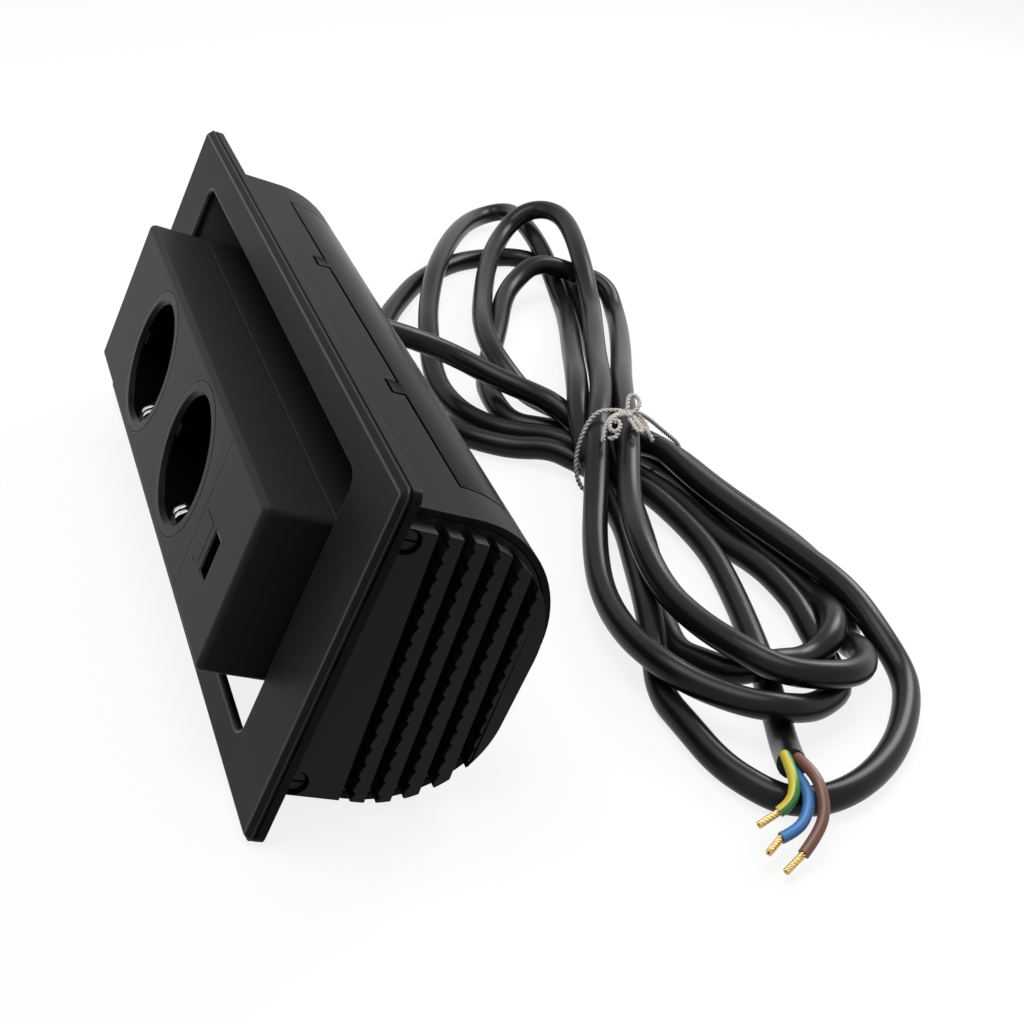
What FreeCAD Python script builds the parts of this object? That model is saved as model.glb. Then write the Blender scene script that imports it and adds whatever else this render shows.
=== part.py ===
import FreeCAD, Part
import math
import os

# Power module for a worktop. Millimetres. +Z points out of the worktop, +X to the end with the
# USB outlet. The origin is the middle of the flange's underside, which rests on the worktop.

os.makedirs("parts", exist_ok=True)
V = FreeCAD.Vector
X_AXIS = V(1, 0, 0)
Y_AXIS = V(0, 1, 0)
Z_AXIS = V(0, 0, 1)

# Flange and front frame
opening_width = 87.0
flange_overhang_x = 12.5
flange_overhang_y = 9.45
flange_corner_r = 3.0
flange_plate = 3.5
frame_thickness = 2.2
frame_bevel = 1.9
opening_corner_r = 5.0
opening_bevel = 0.7
frame_lip_depth = 0.6
frame_lip_wall = 1.2
side_slot_depth = 1.2
side_slot_height = 0.9
side_slots = ((24.0, 52.0), (2.5, 8.0), (-25.0, -21.0))

# Drum of the housing
recess_side_gap = 1.5
recess_end_gap = 1.0
shell_depth = 60.2
shell_arc_r = 36.0
shell_wall = 2.2
bulkhead_wall = 2.2
cover_end_gap = 0.8
seam_gap = 0.7
cover_lip_wall = 1.0
cover_lip_height = 3.0
cover_lip_end_gap = 10.0
cover_foot_inset = 0.8
cover_foot_wall = 0.2
cover_foot_height = 4.0
tab_x = 46.5
tab_width = 8.2
tab_height = 4.0
tab_gap = 0.35
tab_chamfer = 0.8
window_length = 41.0
window_end_wall = 0.7
window_z = (-12.0, 2.2)

# End caps with their racks
cap_fit = 0.25
cap_seat = 0.6
end_room = 11.5
cap_plate = 2.0
cap_edge_recess = 0.3
rack_depth = 6.1
rack_inset = 3.7
rack_slant_deg = 4.86
rack_first_gap_z = -15.7
rack_pitch = 7.7
rack_gap = 4.2
rack_gaps = 5
rack_teeth = 20
tooth_pitch = 5.1
tooth_height = 1.0
flat_zone_wall = 2.2
cap_screw_inset = 7.7
cap_screw_z = -4.6
cap_screw_head_r = 3.0
cap_screw_bore_r = 3.9
cap_screw_bore_depth = 3.2
screw_shank_r = 1.5
screw_head_height = 2.0
screw_slot = 0.8

# Rotor that flips about an axis along X
rotor_axis_z = -8.0
lid_gap = 1.2
lid_plate = 3.0
lid_corner_r = 3.8
lid_edge_r = 0.5
lid_sink = 0.3
hook_pitch = 60.0
hook_width = 8.0
hook_height = 7.0
flank_wall = 2.2
flank_top_z = -12.0
flank_end_inset = 5.5
flank_root_y = 30.0
block_mid_y = -1.15
block_side_margin = 2.9
block_end_gap = 5.4
block_wall = 2.0
block_edge_r = 2.0
panel_top_z = 22.9
panel_plate = 2.6
panel_seam_z = 2.2
part_seam = 0.25
usb_panel_length = 40.1

# Sockets
socket_end_inset = 58.7
socket_pitch = 65.5
socket_to_seam = 31.9
rim_r = 24.3
rim_depth = 1.8
well_mouth_r = 21.2
well_r = 19.8
well_depth = 17.5
cup_r = 22.2
cup_floor = 2.5
rim_fit = 0.2
guide_rib_width = 4.4
guide_rib_height = 2.2
guide_rib_drop = 1.6
pin_pitch = 19.0
pin_hole_r = 3.0
clip_width = 5.0
clip_sheet = 0.8
clip_slot_side_gap = 0.7
clip_tip_inset = 1.3
clip_wall_gap = 0.4
clip_bend_drop = 7.6
clip_rise = 1.9
clip_end_rise = 1.7
clip_slot_wall = 1.2

# Contact bars under the sockets
sleeve_r = 3.6
sleeve_bore_r = 2.6
sleeve_height = 9.0
sleeve_drop = 0.6
sleeve_hold = 2.5
sleeve_boss_wall = 1.2
bar_offset_y = 7.0
bar_sheet = 0.8
bar_height = 6.0

# USB outlet
usb_end_inset = 22.6
usb_y = -4.7
usb_length = 14.4
usb_width = 6.8
usb_depth = 14.0
usb_sheet = 0.5
usb_fit = 0.15
usb_sink = 0.3
tongue_length = 11.0
tongue_width = 1.9
tongue_reach = 9.0
tongue_offset = 1.0
tongue_foot = 3.0
board_rest_inset = 2.0
board_size = (22.0, 40.0, 1.6)

# Pivot
sleeve_outer_r = 5.0
sleeve_inner_r = 3.2
sleeve_flange_r = 8.0
sleeve_flange = 1.8
hub_r = 9.0
screw_post_r = 3.0
screw_web_half = 0.8
screw_hole_depth = 10.0
screw_reach = 8.0
bush_r = 7.5
bush_flange_r = 9.5
bush_flange = 1.0
bush_tail = 1.6
sleeve_tail = 1.0
washer_edge_gap = 0.5
running_fit = 0.05
seat_fit = 0.03
washer_sheet = 0.5
washer_play = 0.3

# Mains lead
cord_r = 4.6
cord_inset = 5.6
cord_y = 5.0
relief_r = 6.9
relief_tip_r = 5.7
relief_length = 20.0
relief_flange_r = 7.6
relief_flange = 1.8
relief_neck_r = 5.6
relief_neck_reach = 1.4
relief_seat_gap = 0.02
relief_grooves = 5
relief_groove_first = 3.0
relief_groove_pitch = 3.2
relief_groove_width = 1.2
relief_groove_wall = 0.6
relief_mouth_gap = 4.0
relief_fit = 0.1
cord_inside = 14.0
terminal_size = (8.6, 22.0, 11.0)
terminal_inset = 18.0
terminal_lift = 24.2
terminal_bore_r = 1.9
terminal_poles = 3.3
terminal_screw_sink = 0.3
clamp_height = 6.0
clamp_lift = 4.0
clamp_inset = 0.3
clamp_edge = 0.6
clamp_screw_sink = 0.5
clamp_screw_head_r = 2.4
core_r = 1.75
core_tip_r = 1.15
core_tip_length = 7.9

# How the module lies: the table touches the flange's edge and the drum's side
lay_tilt_deg = 17.5

# Derived places
frame_front_z = flange_plate + frame_thickness
block_half_length = (socket_end_inset + socket_pitch + socket_to_seam + usb_panel_length) / 2
block_half_width = rim_r + block_side_margin
socket_x = (socket_end_inset - block_half_length, socket_end_inset + socket_pitch - block_half_length)
panel_split_x = block_half_length - usb_panel_length
usb_x = block_half_length - usb_end_inset
opening_half_x = block_half_length + block_end_gap
opening_half_y = opening_width / 2
shell_inner_half = opening_half_y + recess_side_gap
shell_half_width = shell_inner_half + shell_wall
bulkhead_inner_x = opening_half_x + recess_end_gap
bulkhead_outer_x = bulkhead_inner_x + bulkhead_wall
cover_half_length = bulkhead_inner_x - cover_end_gap
cap_inner_x = bulkhead_outer_x + end_room
cap_outer_x = cap_inner_x + cap_plate
shell_half_length = cap_outer_x + cap_edge_recess
rack_front_x = cap_outer_x + rack_depth
flange_half_x = shell_half_length + flange_overhang_x
flange_half_y = shell_half_width + flange_overhang_y
lay_flange_edge = V(0, -flange_half_y, 0)
window_end_x = cover_half_length - window_end_wall
cap_screw_y = shell_half_width - cap_screw_inset
cord_x = -bulkhead_outer_x - cord_inset
shell_arc_z = shell_arc_r - shell_depth
lid_face_z = 2 * rotor_axis_z - frame_front_z
lid_inner_z = lid_face_z + lid_plate
lid_half_x = opening_half_x - lid_gap
lid_half_y = opening_half_y - lid_gap
lid_sweep_r = math.hypot(lid_half_y, frame_front_z - rotor_axis_z)
block_y0 = block_mid_y - block_half_width
block_y1 = block_mid_y + block_half_width
well_floor_z = panel_top_z - well_depth
cup_bottom_z = well_floor_z - cup_floor
relief_tip_z = -shell_depth - relief_flange - relief_length
hub_end_x = bulkhead_inner_x - bush_flange - washer_sheet - 2 * washer_play
sleeve_top_z = cup_bottom_z - 3 * clip_sheet - sleeve_drop
terminal_x = -bulkhead_outer_x - terminal_size[0] / 2
terminal_y = terminal_inset - shell_inner_half
terminal_z = terminal_lift - shell_depth
sheath_end_z = -shell_depth + cord_inside
clamp_z = -shell_depth + shell_wall + clamp_lift
clamp_screw_y = 1.65 * cord_r
all_nodes = []


def box(x0, x1, y0, y1, z0, z1):
    return Part.makeBox(x1 - x0, y1 - y0, z1 - z0, V(x0, y0, z0))


def rod(start, direction, radius, length):
    return Part.makeCylinder(radius, length, start, direction)


def fuse(shapes):
    first, *rest = shapes
    return first.fuse(rest).removeSplitter() if rest else first


def rounded_plate(half_x, half_y, corner_r, z0, z1):
    plate = box(-half_x, half_x, -half_y, half_y, z0, z1)
    uprights = [e for e in plate.Edges if abs(e.tangentAt(e.FirstParameter).z) > 0.99]
    return plate.makeFillet(corner_r, uprights)


def drum_face(inset, top_z, x):
    """The drum's U-shaped section, moved in from its outside by inset."""
    half = shell_half_width - inset
    arc_r = shell_arc_r - inset
    bottom = inset - shell_depth
    flat = half - arc_r
    diagonal = arc_r * math.sqrt(0.5)
    right_mid = V(x, flat + diagonal, shell_arc_z - diagonal)
    left_mid = V(x, -flat - diagonal, shell_arc_z - diagonal)
    edges = [
        Part.LineSegment(V(x, -half, top_z), V(x, half, top_z)).toShape(),
        Part.LineSegment(V(x, half, top_z), V(x, half, shell_arc_z)).toShape(),
        Part.Arc(V(x, half, shell_arc_z), right_mid, V(x, flat, bottom)).toShape(),
        Part.LineSegment(V(x, flat, bottom), V(x, -flat, bottom)).toShape(),
        Part.Arc(V(x, -flat, bottom), left_mid, V(x, -half, shell_arc_z)).toShape(),
        Part.LineSegment(V(x, -half, shell_arc_z), V(x, -half, top_z)).toShape(),
    ]
    return Part.Face(Part.Wire(edges))


def drum(inset, top_z, x0, x1):
    return drum_face(inset, top_z, x0).extrude(V(x1 - x0, 0, 0))


def outline(points, lift):
    """A straight-sided solid on the flat closed outline through the points."""
    return Part.Face(Part.makePolygon(points + points[:1])).extrude(lift)


def mirrored(shape):
    return shape.mirror(V(0, 0, 0), X_AXIS)


def save(name, shape):
    solids = shape.Solids
    whole = solids[0] if len(solids) == 1 else Part.makeCompound(solids)
    if not whole.isValid():
        print("not valid:", name)
    whole.exportStep("parts/" + name + ".step")
    all_nodes.append((name, whole))
    print(name, len(solids), "solid(s)", round(whole.Volume), "mm3")


def screw(head, direction, length, head_r=cap_screw_head_r):
    """A slotted pan-head screw. head is the centre of the head's outer face."""
    shape = fuse([
        rod(head, direction, head_r, screw_head_height),
        rod(head, direction, screw_shank_r, length),
    ])
    slot = Part.makeBox(2 * head_r, screw_slot, screw_slot, V(-head_r, -screw_slot / 2, 0))
    slot.Placement = FreeCAD.Placement(head, FreeCAD.Rotation(Z_AXIS, direction))
    return shape.cut(slot)


# Front frame
def front_frame():
    plate = rounded_plate(flange_half_x, flange_half_y, flange_corner_r, flange_plate, frame_front_z)
    rim = [e for e in plate.Edges if e.BoundBox.ZMin > frame_front_z - 0.01]
    plate = plate.makeChamfer(frame_bevel, rim)
    lip_half_x = opening_half_x + frame_lip_wall - part_seam
    lip_half_y = opening_half_y + frame_lip_wall
    lip_z = flange_plate - frame_lip_depth
    lip = rounded_plate(lip_half_x, lip_half_y, opening_corner_r, lip_z, flange_plate)
    hole = rounded_plate(opening_half_x, opening_half_y, opening_corner_r, lip_z, frame_front_z)
    frame = plate.fuse(lip).cut(hole).removeSplitter()
    inner = [e for e in frame.Edges if e.BoundBox.ZMin > frame_front_z - 0.01
             and e.BoundBox.XMax < opening_half_x + 0.1 and e.BoundBox.YMax < opening_half_y + 0.1
             and e.BoundBox.XMin > -opening_half_x - 0.1 and e.BoundBox.YMin > -opening_half_y - 0.1]
    return frame.makeChamfer(opening_bevel, inner)


# Housing: flange plate, drum walls, bulkheads
def housing_side_slots():
    """Long slots in the flange's edge at the near end, under the front frame."""
    x0 = flange_half_x - side_slot_depth
    z0 = flange_plate - side_slot_height
    return [box(x0, flange_half_x, y0, y1, z0, flange_plate) for y0, y1 in side_slots]


def tab_slot(x, side):
    y = side * (shell_half_width - shell_wall / 2)
    half = tab_width / 2 + tab_gap
    top = shell_arc_z + tab_height + tab_gap
    return box(x - half, x + half, y - shell_wall, y + shell_wall, shell_arc_z, top)


def cap_boss(end, side):
    """A screw boss that stands on the bulkhead and carries the end cap."""
    start = V(end * bulkhead_outer_x, side * cap_screw_y, cap_screw_z)
    length = cap_inner_x - bulkhead_outer_x
    return rod(start, X_AXIS * end, cap_screw_bore_r, length)


def cap_boss_hole(end, side):
    start = V(end * bulkhead_outer_x, side * cap_screw_y, cap_screw_z)
    return rod(start, X_AXIS * end, screw_shank_r + seat_fit, cap_inner_x - bulkhead_outer_x)


def cap_recess(end):
    """A shallow recess under the flange, over the end room and the end cap's top edge."""
    room_x0, room_x1 = sorted((end * bulkhead_outer_x, end * shell_half_length))
    rack_x0, rack_x1 = sorted((end * cap_inner_x, end * (rack_front_x + cap_fit)))
    rack_half = shell_half_width - rack_inset + cap_fit
    room = box(room_x0, room_x1, -shell_inner_half, shell_inner_half, -1, cap_seat)
    return room.fuse(box(rack_x0, rack_x1, -rack_half, rack_half, -1, cap_seat))


def bulkhead(end):
    x0, x1 = sorted((end * bulkhead_inner_x, end * bulkhead_outer_x))
    wall = drum(shell_wall / 2, flange_plate / 2, x0, x1)
    hole = rod(V(x0, 0, rotor_axis_z), X_AXIS, bush_r + seat_fit, bulkhead_wall)
    return wall.cut(hole)


def housing():
    plate = rounded_plate(flange_half_x, flange_half_y, flange_corner_r, 0, flange_plate)
    walls = drum(0, flange_plate / 2, -shell_half_length, shell_half_length)
    inside = drum(shell_wall, flange_plate + 1, -shell_half_length - 1, shell_half_length + 1)
    cover_space = box(-cover_half_length, cover_half_length, -shell_half_width - 1, shell_half_width + 1,
                      -shell_depth - 1, shell_arc_z)
    walls = walls.cut([inside, cover_space])
    plate = plate.cut(rounded_plate(bulkhead_inner_x, shell_inner_half, opening_corner_r, 0, flange_plate))
    body = fuse([plate, walls, bulkhead(1), bulkhead(-1)])
    bosses = [cap_boss(end, side) for end in (1, -1) for side in (1, -1)]
    body = fuse([body] + bosses)
    cuts = housing_side_slots()
    cuts += [tab_slot(x, side) for x in (tab_x, -tab_x) for side in (1, -1)]
    cuts += [cap_boss_hole(end, side) for end in (1, -1) for side in (1, -1)]
    cuts.append(box(window_end_x - window_length, window_end_x, -shell_half_width - 1,
                    -shell_inner_half + 1, window_z[0], window_z[1]))
    cuts.append(rod(V(cord_x, cord_y, -shell_depth - 1), Z_AXIS, relief_neck_r + relief_fit, shell_wall + 2))
    cuts += [rod(clamp_screw_place(side), X_AXIS, screw_shank_r + seat_fit, cap_inner_x) for side in (1, -1)]
    cuts += [cap_recess(end) for end in (1, -1)]
    return body.cut(cuts)


# Bottom cover with its snap tabs
def cover_tab(x, side):
    outer = side * (shell_half_width - tab_gap)
    inner = side * (shell_inner_half + tab_gap)
    y0, y1 = sorted((outer, inner))
    foot_z = shell_arc_z - 2 * seam_gap
    tab = box(x - tab_width / 2, x + tab_width / 2, y0, y1, foot_z, shell_arc_z + tab_height)
    tip = [e for e in tab.Edges if abs(e.tangentAt(e.FirstParameter).x) > 0.99
           and e.BoundBox.ZMin > shell_arc_z and abs(abs(e.BoundBox.YMin) - abs(outer)) < 0.01]
    return tab.makeChamfer(tab_chamfer, tip)


def cover_lip(side):
    """A rib inside the seam that lines the cover up with the housing's wall."""
    outer = shell_inner_half - tab_gap
    y0, y1 = sorted((side * outer, side * (outer - cover_lip_wall)))
    half = cover_half_length - cover_lip_end_gap
    return box(-half, half, y0, y1,
               shell_arc_z - 2 * seam_gap, shell_arc_z + cover_lip_height)


def bottom_cover():
    top = shell_arc_z - seam_gap
    half = cover_half_length - seam_gap
    skin = drum(0, 0, -half, half).cut(drum(shell_wall, 1, -half - 1, half + 1))
    foot_half = cover_half_length - cover_lip_end_gap
    foot_inner = shell_wall + tab_gap + cover_lip_wall + cover_foot_wall
    foot = drum(cover_foot_inset, 0, -foot_half, foot_half).cut(drum(foot_inner, 1, -half, half))
    foot = foot.common(box(-half, half, -shell_half_width, shell_half_width, top - cover_foot_height, top))
    above = box(-half - 1, half + 1, -shell_half_width - 1, shell_half_width + 1, top, 2)
    tabs = [cover_tab(x, side) for x in (tab_x, -tab_x) for side in (1, -1)]
    return fuse([skin.cut(above), foot, cover_lip(1), cover_lip(-1)] + tabs)


# End cap with its slanted rack
def slanted(y, z):
    """A point of the rack's end face, turned with the fins. z is counted along the middle line."""
    slant = math.radians(rack_slant_deg)
    return V(0, y * math.cos(slant), z + y * math.sin(slant))


def rack_slot(number):
    """The gap before one fin. The fin's edge in it is a row of saw-like scallops."""
    top = rack_first_gap_z - number * rack_pitch
    bottom = top - rack_gap
    reach = rack_teeth * tooth_pitch / 2
    edges = [Part.LineSegment(slanted(-reach, top), slanted(reach, top)).toShape(),
             Part.LineSegment(slanted(reach, top), slanted(reach, bottom)).toShape()]
    for tooth in range(rack_teeth):
        y = reach - tooth * tooth_pitch
        start = slanted(y, bottom)
        crest = slanted(y - 0.45 * tooth_pitch, bottom + 0.9 * tooth_height)
        brink = slanted(y - 0.85 * tooth_pitch, bottom + tooth_height)
        foot = slanted(y - tooth_pitch, bottom)
        edges.append(Part.Arc(start, crest, brink).toShape())
        edges.append(Part.LineSegment(brink, foot).toShape())
    edges.append(Part.LineSegment(slanted(-reach, bottom), slanted(-reach, top)).toShape())
    face = Part.Face(Part.Wire(edges))
    face.translate(V(cap_outer_x, 0, 0))
    return face.extrude(V(rack_front_x - cap_outer_x + 1, 0, 0))


def end_cap():
    plate = drum(shell_wall + cap_fit, cap_seat - cap_fit, cap_inner_x, cap_outer_x)
    rack = drum(rack_inset, cap_seat - cap_fit, cap_inner_x, rack_front_x)
    rack = rack.cut([rack_slot(number) for number in range(rack_gaps)])
    pocket_half = shell_half_width - rack_inset - flat_zone_wall
    pocket_low = rack_first_gap_z + math.sin(math.radians(rack_slant_deg)) * pocket_half + flat_zone_wall
    pocket = box(cap_inner_x, rack_front_x - flat_zone_wall, 2 * cap_screw_bore_r - cap_screw_y,
                 cap_screw_y - 2 * cap_screw_bore_r, pocket_low, -cap_fit - flat_zone_wall)
    cap = plate.fuse(rack).removeSplitter().cut(pocket)
    cuts = []
    for side in (1, -1):
        head = V(rack_front_x, side * cap_screw_y, cap_screw_z)
        cuts.append(rod(head, -X_AXIS, cap_screw_bore_r, cap_screw_bore_depth))
        cuts.append(rod(head, -X_AXIS, screw_shank_r + relief_fit, rack_front_x - cap_inner_x))
    return cap.cut(cuts)


def cap_screws():
    screws = []
    for end in (1, -1):
        for side in (1, -1):
            head_x = rack_front_x - cap_screw_bore_depth + screw_head_height
            head = V(end * head_x, side * cap_screw_y, cap_screw_z)
            length = abs(head.x) - bulkhead_outer_x - 1
            screws.append(screw(head, -X_AXIS * end, length))
    return Part.makeCompound(screws)


# Rotor
def panel_cap(x0, x1, low_end, high_end):
    """A cap of the block: plate and skirt, open below. An end that meets the other cap is open."""
    cap = box(x0, x1, block_y0, block_y1, panel_seam_z, panel_top_z)
    rim = [e for e in cap.Edges if e.BoundBox.ZMin > panel_top_z - 0.01
           and (abs(e.tangentAt(e.FirstParameter).x) > 0.99
                or (low_end and e.BoundBox.XMax < x0 + 0.01) or (high_end and e.BoundBox.XMin > x1 - 0.01))]
    corners = [e for e in cap.Edges if abs(e.tangentAt(e.FirstParameter).z) > 0.99
               and ((low_end and e.BoundBox.XMax < x0 + 0.01) or (high_end and e.BoundBox.XMin > x1 - 0.01))]
    cap = cap.makeFillet(block_edge_r, rim + corners)
    hollow = box(x0 + (block_wall if low_end else 0), x1 - (block_wall if high_end else 0),
                 block_y0 + block_wall, block_y1 - block_wall, panel_seam_z, panel_top_z - panel_plate)
    return cap.cut(hollow)


def socket_panel():
    cap = panel_cap(-block_half_length, panel_split_x - part_seam / 2, True, False)
    cuts = []
    for x in socket_x:
        top = V(x, block_mid_y, panel_top_z)
        cuts.append(rod(top, -Z_AXIS, rim_r + rim_fit, rim_depth))
        cuts.append(rod(top, -Z_AXIS, cup_r + rim_fit, panel_plate))
    posts = [rotor_post(-1, side) for side in (1, -1)]
    return fuse([cap.cut(cuts)] + posts).cut([post_hole(-1, side) for side in (1, -1)])


def usb_panel():
    cap = panel_cap(panel_split_x + part_seam / 2, block_half_length, False, True)
    hole = box(usb_x - usb_width / 2 - usb_fit, usb_x + usb_width / 2 + usb_fit,
               usb_y - usb_length / 2 - usb_fit, usb_y + usb_length / 2 + usb_fit,
               panel_top_z - panel_plate, panel_top_z)
    posts = [rotor_post(1, side) for side in (1, -1)]
    rests = [board_rest(side) for side in (1, -1)]
    return fuse([cap.cut(hole)] + posts + rests).cut([post_hole(1, side) for side in (1, -1)])


def post_centre(end, side, z):
    x = end * (block_half_length - block_wall - 1.5 * screw_post_r)
    y = block_mid_y + side * (block_half_width - block_wall - 1.5 * screw_post_r)
    return V(x, y, z)


def rotor_post(end, side):
    """A screw post under the cap's plate that meets the rotor's post at the seam."""
    height = panel_top_z - panel_plate - panel_seam_z
    return rod(post_centre(end, side, panel_seam_z), Z_AXIS, screw_post_r, height)


def post_hole(end, side):
    return rod(post_centre(end, side, panel_seam_z), Z_AXIS, screw_shank_r + seat_fit, screw_hole_depth)


def board_rest(side):
    """A rib that hangs from the plate beside the USB shell, with the board on its foot."""
    length, width, _ = board_size
    y0, y1 = sorted((usb_y + side * (width / 2 - 1), usb_y + side * (width / 2 - 1 - block_wall)))
    half = length / 2 - board_rest_inset
    return box(usb_x - half, usb_x + half, y0, y1,
               panel_top_z - usb_sink - usb_depth, panel_top_z - panel_plate)


def rotor_shell():
    """The lower half of the block, with the hubs of the pivot and the screw posts."""
    top = panel_seam_z - part_seam
    body = box(-block_half_length, block_half_length, block_y0, block_y1, lid_inner_z, top)
    corners = [e for e in body.Edges if abs(e.tangentAt(e.FirstParameter).z) > 0.99]
    body = body.makeFillet(block_edge_r, corners)
    body = body.cut(box(block_wall - block_half_length, block_half_length - block_wall,
                        block_y0 + block_wall, block_y1 - block_wall, lid_inner_z, top))
    adds = []
    cuts = []
    for end in (1, -1):
        wall_x = end * (block_half_length - block_wall)
        hub = V(wall_x, 0, rotor_axis_z)
        adds.append(rod(hub, X_AXIS * end, hub_r, hub_end_x - abs(wall_x)))
        cuts.append(rod(hub, X_AXIS * end, sleeve_outer_r + seat_fit, hub_end_x - abs(wall_x)))
        for side in (1, -1):
            low = post_centre(end, side, lid_inner_z + 2 * block_wall)
            adds.append(rod(low, Z_AXIS, screw_post_r, top - low.z))
            web = box(min(low.x, wall_x), max(low.x, wall_x), low.y - screw_web_half,
                      low.y + screw_web_half, low.z, top)
            adds.append(web)
            cuts.append(rod(low, Z_AXIS, screw_shank_r + relief_fit, top - low.z))
    return fuse([body] + adds).cut(cuts)


def rotor_screws():
    screws = []
    for end in (1, -1):
        for side in (1, -1):
            head = post_centre(end, side, lid_inner_z + 2 * block_wall - screw_head_height)
            screws.append(screw(head, Z_AXIS, panel_seam_z - head.z + screw_reach))
    return Part.makeCompound(screws)


def lid_flank(side):
    """A curved flank that closes the slot beside the lid. It is round about the rotor's axis."""
    half = lid_half_x - flank_end_inset
    centre = V(-half, 0, rotor_axis_z)
    ring = rod(centre, X_AXIS, lid_sweep_r, 2 * half)
    ring = ring.cut(rod(centre, X_AXIS, lid_sweep_r - flank_wall, 2 * half))
    y0, y1 = sorted((side * flank_root_y, side * (lid_sweep_r + 1)))
    return ring.common(box(-half, half, y0, y1, lid_inner_z - lid_sink, flank_top_z))


def lid_hook(x, side):
    """A snap hook on the lid's inner face that grips the rotor's wall."""
    y0, y1 = sorted((block_mid_y + side * (block_half_width - block_wall - 2 * part_seam),
                     block_mid_y + side * (block_half_width - 2 * block_wall - 2 * part_seam)))
    return box(x - hook_width / 2, x + hook_width / 2, y0, y1,
               lid_inner_z - lid_sink, lid_inner_z + hook_height)


def rotor_lid():
    plate = rounded_plate(lid_half_x, lid_half_y, lid_corner_r, lid_face_z, lid_inner_z)
    rim = [e for e in plate.Edges if e.BoundBox.ZMax < lid_face_z + 0.01]
    plate = plate.makeFillet(lid_edge_r, rim)
    hooks = [lid_hook(x, side) for x in (-hook_pitch, 0, hook_pitch) for side in (1, -1)]
    return fuse([plate, lid_flank(1), lid_flank(-1)] + hooks)


# Sockets
def socket_insert(x):
    """Rim, well and floor turned in one profile, then the ribs, slots and pin holes."""
    mouth_drop = well_mouth_r - well_r
    profile = [V(0, 0, cup_bottom_z), V(cup_r, 0, cup_bottom_z), V(cup_r, 0, panel_top_z - rim_depth),
               V(rim_r, 0, panel_top_z - rim_depth), V(rim_r, 0, panel_top_z),
               V(well_mouth_r, 0, panel_top_z), V(well_r, 0, panel_top_z - mouth_drop),
               V(well_r, 0, well_floor_z), V(0, 0, well_floor_z)]
    insert = Part.Face(Part.makePolygon(profile + profile[:1])).revolve(V(0, 0, 0), Z_AXIS, 360)
    rib_band = rod(V(0, 0, well_floor_z), Z_AXIS, well_r + 0.5, well_depth - guide_rib_drop)
    rib_band = rib_band.cut(rod(V(0, 0, well_floor_z), Z_AXIS, well_r - guide_rib_height, well_depth))
    rib_half = guide_rib_width / 2
    ribs = rib_band.common(box(-cup_r, cup_r, -rib_half, rib_half, well_floor_z, panel_top_z))
    bosses = [rod(V(side * pin_pitch / 2, 0, sleeve_top_z - sleeve_hold), Z_AXIS,
                  sleeve_r + sleeve_boss_wall, cup_bottom_z - sleeve_top_z + sleeve_hold) for side in (1, -1)]
    insert = fuse([insert, ribs] + bosses)
    half = clip_width / 2 + clip_slot_side_gap
    cuts = []
    for side in (1, -1):
        y0, y1 = sorted((side * (well_r - clip_slot_wall), side * (cup_r + 1)))
        cuts.append(box(-half, half, y0, y1, cup_bottom_z - 1, panel_top_z - 2 * rim_depth))
        hole = V(side * pin_pitch / 2, 0, sleeve_top_z)
        cuts.append(rod(hole, Z_AXIS, pin_hole_r, well_floor_z - sleeve_top_z))
        cuts.append(rod(hole, -Z_AXIS, sleeve_r + seat_fit, sleeve_hold))
    insert = insert.cut(cuts)
    insert.translate(V(x, block_mid_y, 0))
    return insert


def earth_bracket(x):
    """A strap under the well with a sprung clip up each side, bent from one strip."""
    low = cup_bottom_z - clip_sheet - part_seam
    outer = cup_r - clip_wall_gap
    tip = well_r - clip_tip_inset
    bend = panel_top_z - clip_bend_drop
    crest = bend + clip_rise
    end = crest + clip_end_rise
    sheet = clip_sheet
    right = [V(0, 0, low), V(0, outer, low), V(0, outer, bend), V(0, tip + sheet, crest),
             V(0, outer - sheet, end), V(0, outer - 1.7 * sheet, end), V(0, tip, crest),
             V(0, outer - sheet, bend - 0.4), V(0, outer - sheet, low + sheet), V(0, 0, low + sheet)]
    half = outline(right, V(clip_width, 0, 0))
    strip = half.fuse(half.mirror(V(0, 0, 0), Y_AXIS)).removeSplitter()
    strip.translate(V(x - clip_width / 2, block_mid_y, 0))
    return strip


def contact_bar(side):
    """A bar along the block with one sleeve per socket, under the pin holes on one side."""
    low = sleeve_top_z - sleeve_height
    bar_y = block_mid_y + side * bar_offset_y
    first = socket_x[0] + side * pin_pitch / 2
    last = socket_x[-1] + side * pin_pitch / 2
    y0 = bar_y - bar_sheet / 2
    adds = [box(first - sleeve_r, last + sleeve_r, y0, y0 + bar_sheet, low, low + bar_height)]
    bores = []
    for x in socket_x:
        centre = V(x + side * pin_pitch / 2, block_mid_y, low)
        adds.append(rod(centre, Z_AXIS, sleeve_r, sleeve_height))
        y0, y1 = sorted((bar_y, block_mid_y))
        adds.append(box(centre.x - bar_sheet, centre.x + bar_sheet, y0, y1, low, low + bar_height))
        bores.append(rod(centre, Z_AXIS, sleeve_bore_r, sleeve_height))
    return fuse(adds).cut(bores)


# USB outlet
def usb_shell():
    top = panel_top_z - usb_sink
    outer = box(usb_x - usb_width / 2, usb_x + usb_width / 2, usb_y - usb_length / 2, usb_y + usb_length / 2,
                top - usb_depth, top)
    inner = box(usb_x - usb_width / 2 + usb_sheet, usb_x + usb_width / 2 - usb_sheet,
                usb_y - usb_length / 2 + usb_sheet, usb_y + usb_length / 2 - usb_sheet,
                top - usb_depth + usb_sheet, top)
    return outer.cut(inner)


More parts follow.
